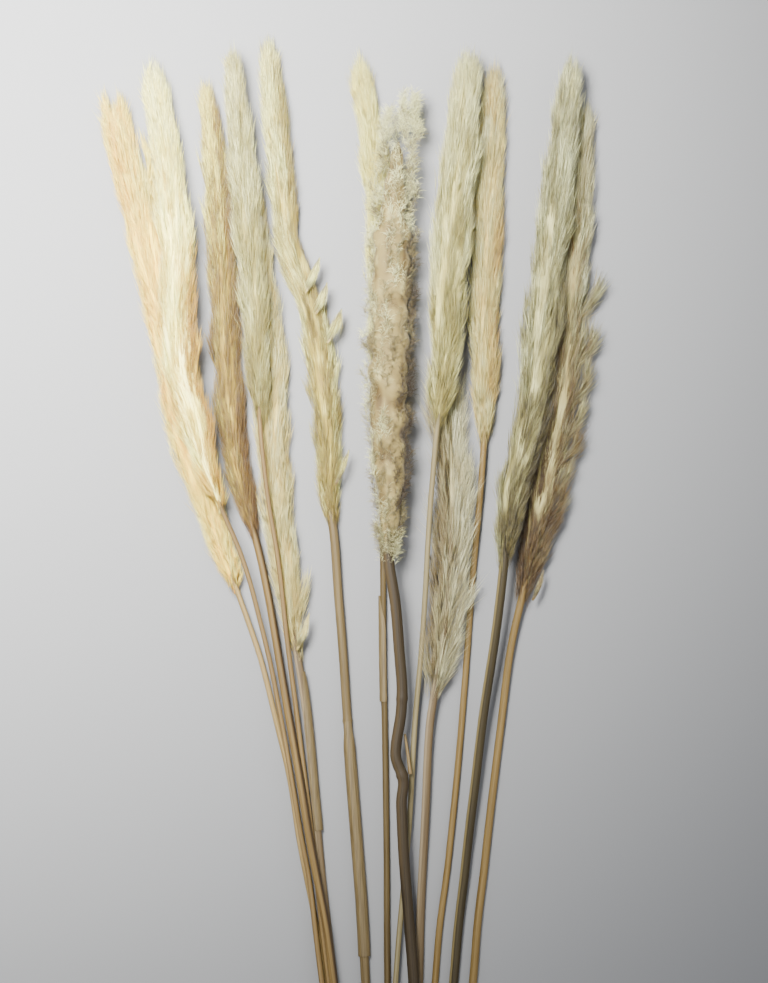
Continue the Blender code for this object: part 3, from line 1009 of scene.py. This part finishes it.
khaki_hair = hair_finish(
    "khaki_hair",
    tip=(0.74, 0.75, 0.40),
    pale=(0.29, 0.275, 0.11),
    warm=(0.185, 0.155, 0.053),
    deep=(0.08, 0.062, 0.019),
    inner=(0.72, 0.62, 0.40),
)
rusty_hair = hair_finish(
    "rusty_hair",
    tip=(0.74, 0.75, 0.45),
    pale=(0.42, 0.40, 0.18),
    warm=(0.175, 0.112, 0.037),
    deep=(0.09, 0.05, 0.015),
    inner=(0.76, 0.58, 0.36),
)
plume(
    "12",
    khaki_hair,
    "plume_khaki",
    tone=0.22,
    fade=(0.35, -0.15),
    point=0.75,
    streaks=[
        dict(beside=0.9, low=0.0, high=0.4, strength=0.4),
        dict(beside=0.0, low=0.0, high=0.3, strength=0.3),
    ],
)
plume(
    "13",
    rusty_hair,
    "plume_khaki",
    tone=0.32,
    fade=(0.57, -0.22),
    point=0.7,
    streaks=[dict(beside=-0.9, low=0.0, high=0.5, strength=0.3)],
    tufts=[dict(at=at, long=0.024, toward=RIGHT, out=1.22, locks=4) for at in SIDE_TUFTS_AT],
)


# Leaf sheaths and the side shoot.
# The foot of a leaf that still wraps its stem, and one broken thin shoot. Dry husk with veins along it.


VEIN_STRETCH = (1900, 40, 1900)


def husk_finish(name, pale, deep):
    """Dry leaf: veins along Y between a pale and a deep colour, with a low relief."""
    material = bpy.data.materials.new(name)
    material.use_nodes = True
    nodes, links = material.node_tree.nodes, material.node_tree.links
    shader = nodes["Principled BSDF"]
    place = nodes.new("ShaderNodeTexCoord").outputs["Object"]
    veins = noise_node(nodes, links, place, VEIN_STRETCH, 4)
    links.new(ramp_node(nodes, links, veins, [(0.35, deep), (0.62, pale)]), shader.inputs["Base Color"])
    shader.inputs["Roughness"].default_value = 0.55
    add_relief(nodes, links, shader, veins, 0.3)
    return material


sheath_husk = husk_finish("sheath_husk", (0.15, 0.107, 0.041), (0.082, 0.055, 0.018))
twig_husk = husk_finish("twig_husk", (0.22, 0.15, 0.05), (0.13, 0.08, 0.024))
for name in ("leaf_sheath_05", "leaf_sheath_06", "leaf_sheath_07"):
    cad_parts[name].material_slots[0].material = sheath_husk
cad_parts["side_shoot_08"].material_slots[0].material = twig_husk


# Bracts.
# Small pointed leaves that stand out of the plumes, each a thin husk blade wrapped in hairs that close to
# a point over its tip.

BRACT_HAIRS = 300
BLADE_SIDES = 8
BLADE_WIDTH_AT, BLADE_WIDTH = (0, 0.5, 1), (0.7, 0.63, 0.28)  # as a share of the frame's bract
HAIR_OVERSHOOT = 0.12  # of the bract's length, past its tip


def bract(number, husk, hair, tone, wide=1.0):
    """A blade of flat oval rings along the frame's bract, and hairs that start beside its line and draw
    in to it on the way to its tip, with the square root of the way left."""
    node = f"bract_{number}"
    rng = np.random.default_rng(sum(node.encode()))
    middle, half = slices(node, levels_of(node))
    turn = 2 * np.pi * np.arange(BLADE_SIDES) / BLADE_SIDES
    side, up = directions(middle)[1:]
    taper = np.interp(np.linspace(0, 1, len(middle)), BLADE_WIDTH_AT, BLADE_WIDTH)[:, None]
    spoke = (
        (np.cos(turn) * half[:, :1] * taper)[..., None] * side[:, None]
        + (np.sin(turn) * half[:, 1:] * taper)[..., None] * up[:, None]
    )
    blade, faces = capped(middle[:, None] + spoke)
    beyond = middle[-1:] + (middle[-1:] - middle[:1]) * HAIR_OVERSHOOT
    line = np.concatenate([middle, beyond])
    steps = np.linspace(0, 1, len(line))

    start = rng.beta(1.0, 1.6, BRACT_HAIRS)[:, None]
    t = np.array([0.0, 0.55, 1.0])
    at = start + (rng.uniform(0.55, 1.0, (BRACT_HAIRS, 1)) - start * 0.5) * t * (1 - start * 0.3)
    at = np.clip(at, 0, 1)
    path = np.stack([np.interp(at, steps, line[:, axis]) for axis in range(3)], axis=-1)
    reach = np.stack([np.interp(start[:, 0], steps[:-1], half[:, k]) for k in (0, 1)], axis=-1)
    aside = rng.normal(0, 0.55, (BRACT_HAIRS, 2)) * (reach + 0.0006) * wide
    left = np.sqrt(1 - at)
    path[..., 0] += aside[:, :1] * left
    path[..., 2] += np.abs(aside[:, 1:]) * left * 0.8
    path += rng.normal(0, 0.00025, path.shape) * t[:, None]
    path[..., 1] += t * rng.uniform(0, 0.0015, (BRACT_HAIRS, 1))
    path[..., 2] = np.maximum(path[..., 2], FLOOR_GAP)
    radius = HAIR_RADIUS * rng.uniform(*HAIR_RANGE, (BRACT_HAIRS, 1))
    hairs, hair_faces, owner = strands(path, radius, rng.uniform(0, 2 * np.pi, BRACT_HAIRS))

    warmth = tone + rng.normal(0, 0.12, (BRACT_HAIRS, 1)) + np.array([-0.1, 0.0, 0.25])
    streak = np.concatenate([np.full(len(blade), tone), warmth[:, owner].ravel()])
    points = np.concatenate([blade, hairs])
    slots = np.concatenate([np.zeros(sum(len(part) for part in faces)), np.ones(len(hair_faces))])
    values = {"streak": streak, "depth": np.full(len(points), 0.8)}
    faces = faces + [hair_faces + len(blade)]
    piece = make_piece(f"feather_{number}", points, faces, values, [husk, hair], slots)
    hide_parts(node)


bract_husk = husk_finish("bract_husk", (0.42, 0.34, 0.12), (0.27, 0.19, 0.05))
bract("05a", bract_husk, honey_hair, 0.30)
bract("06a", bract_husk, sand_hair, 0.20, wide=1.4)
bract("06b", bract_husk, sand_hair, 0.20, wide=1.4)
bract("06c", bract_husk, sand_hair, 0.20, wide=1.6)
bract("06d", twig_husk, sand_hair, 0.35, wide=0.7)
bract("13a", twig_husk, rusty_hair, 0.55, wide=0.7)
